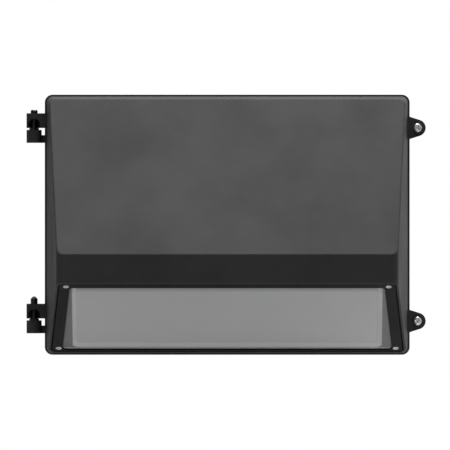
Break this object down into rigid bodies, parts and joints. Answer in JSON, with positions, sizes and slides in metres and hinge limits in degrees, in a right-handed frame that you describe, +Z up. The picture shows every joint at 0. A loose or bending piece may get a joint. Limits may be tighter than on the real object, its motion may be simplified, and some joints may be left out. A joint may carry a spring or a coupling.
{
  "type": "wall pack light",
  "caption": "Outdoor wall pack light: cast back box with a hinged wedge-shaped door, slanted framed frosted lens, captive door screws and the light engine and driver inside.",
  "frame": {"origin": "centre of the back box's rear face, where it lies on the wall", "axes": "+X to the right as seen from the street, +Y into the wall, +Z up"},
  "size_m": [0.3606, 0.2, 0.235],
  "materials": {
    "casting_paint": "dark grey powder coat, fine texture",
    "seal": "matt silicone",
    "plug_alloy": "powder-coated pipe plug",
    "pin_steel": "turned steel with a black finish",
    "washer_nylon": "black nylon",
    "driver_case": "moulded white case",
    "zinc_screws": "zinc plated",
    "earth_screw": "green passivated steel",
    "tinned_terminal": "tinned copper",
    "green_lead": "green insulation",
    "black_lead": "black insulation",
    "white_lead": "white insulation",
    "connector_plastic": "orange moulded cap",
    "stainless_screws": "stainless steel",
    "frosted_lens": "frosted moulded polycarbonate",
    "bare_aluminium": "rolled sheet",
    "board_mask": "white solder mask on aluminium",
    "led_phosphor": "yellow phosphor in clear resin",
    "white_sheet": "white enamelled sheet",
    "white_plastic": "moulded connector",
    "cable_jacket": "black jacket",
    "ring_steel": "spring steel"
  },
  "bodies": {
    "wall_box": {"back_box": "casting_paint", "conduit_plugs": "plug_alloy", "driver_screws": "zinc_screws", "ground_lead": "green_lead", "ground_screw": "earth_screw", "hinge_pin_lower": "pin_steel", "hinge_pin_upper": "pin_steel", "hinge_washers": "washer_nylon", "led_driver": "driver_case", "rim_gasket": "seal", "ring_terminal": "tinned_terminal", "supply_lead_black": "black_lead", "supply_lead_white": "white_lead", "wire_connectors": "connector_plastic"},
    "door": {"door_housing": "casting_paint", "lens_bezel": "casting_paint", "bezel_screws": "stainless_screws", "lens": "frosted_lens", "lens_gasket": "seal", "heat_spreader": "bare_aluminium", "spreader_screws": "zinc_screws", "led_board": "board_mask", "led_chips": "led_phosphor", "led_board_screws": "zinc_screws", "reflector": "white_sheet", "reflector_rivets": "bare_aluminium", "led_connector": "white_plastic", "led_cable": "cable_jacket", "cable_clip": "washer_nylon", "cable_clip_screw": "zinc_screws"},
    "upper_ring": {"retaining_ring_upper": "ring_steel"},
    "upper_screw": {"door_screw_upper": "stainless_screws"},
    "lower_ring": {"retaining_ring_lower": "ring_steel"},
    "lower_screw": {"door_screw_lower": "stainless_screws"}
  },
  "joints": [
    {"name": "door_hinge", "type": "hinge", "parent": "wall_box", "child": "door", "pos_m": [-0.1745, -0.045, 0], "axis": [0, 0, -1], "range_deg": [0, 105], "deforming": ["led_cable"]},
    {"name": "upper_screw_travel", "type": "slide", "parent": "door", "child": "upper_ring", "axis": [0, -1, 0], "range_m": [0, 0.0072]},
    {"name": "upper_screw_turn", "type": "hinge", "parent": "upper_ring", "child": "upper_screw", "pos_m": [0.1718, -0.053, 0.0875], "axis": [0, -1, 0], "range_deg": [0, 3241]},
    {"name": "lower_screw_travel", "type": "slide", "parent": "door", "child": "lower_ring", "axis": [0, -1, 0], "range_m": [0, 0.0072]},
    {"name": "lower_screw_turn", "type": "hinge", "parent": "lower_ring", "child": "lower_screw", "pos_m": [0.1718, -0.053, -0.087], "axis": [0, -1, 0], "range_deg": [0, 3241]}
  ],
  "couplings": [
    {"joint": "upper_screw_turn", "follows": "upper_screw_travel", "rad_per_m": 7854},
    {"joint": "lower_screw_turn", "follows": "lower_screw_travel", "rad_per_m": 7854}
  ]
}
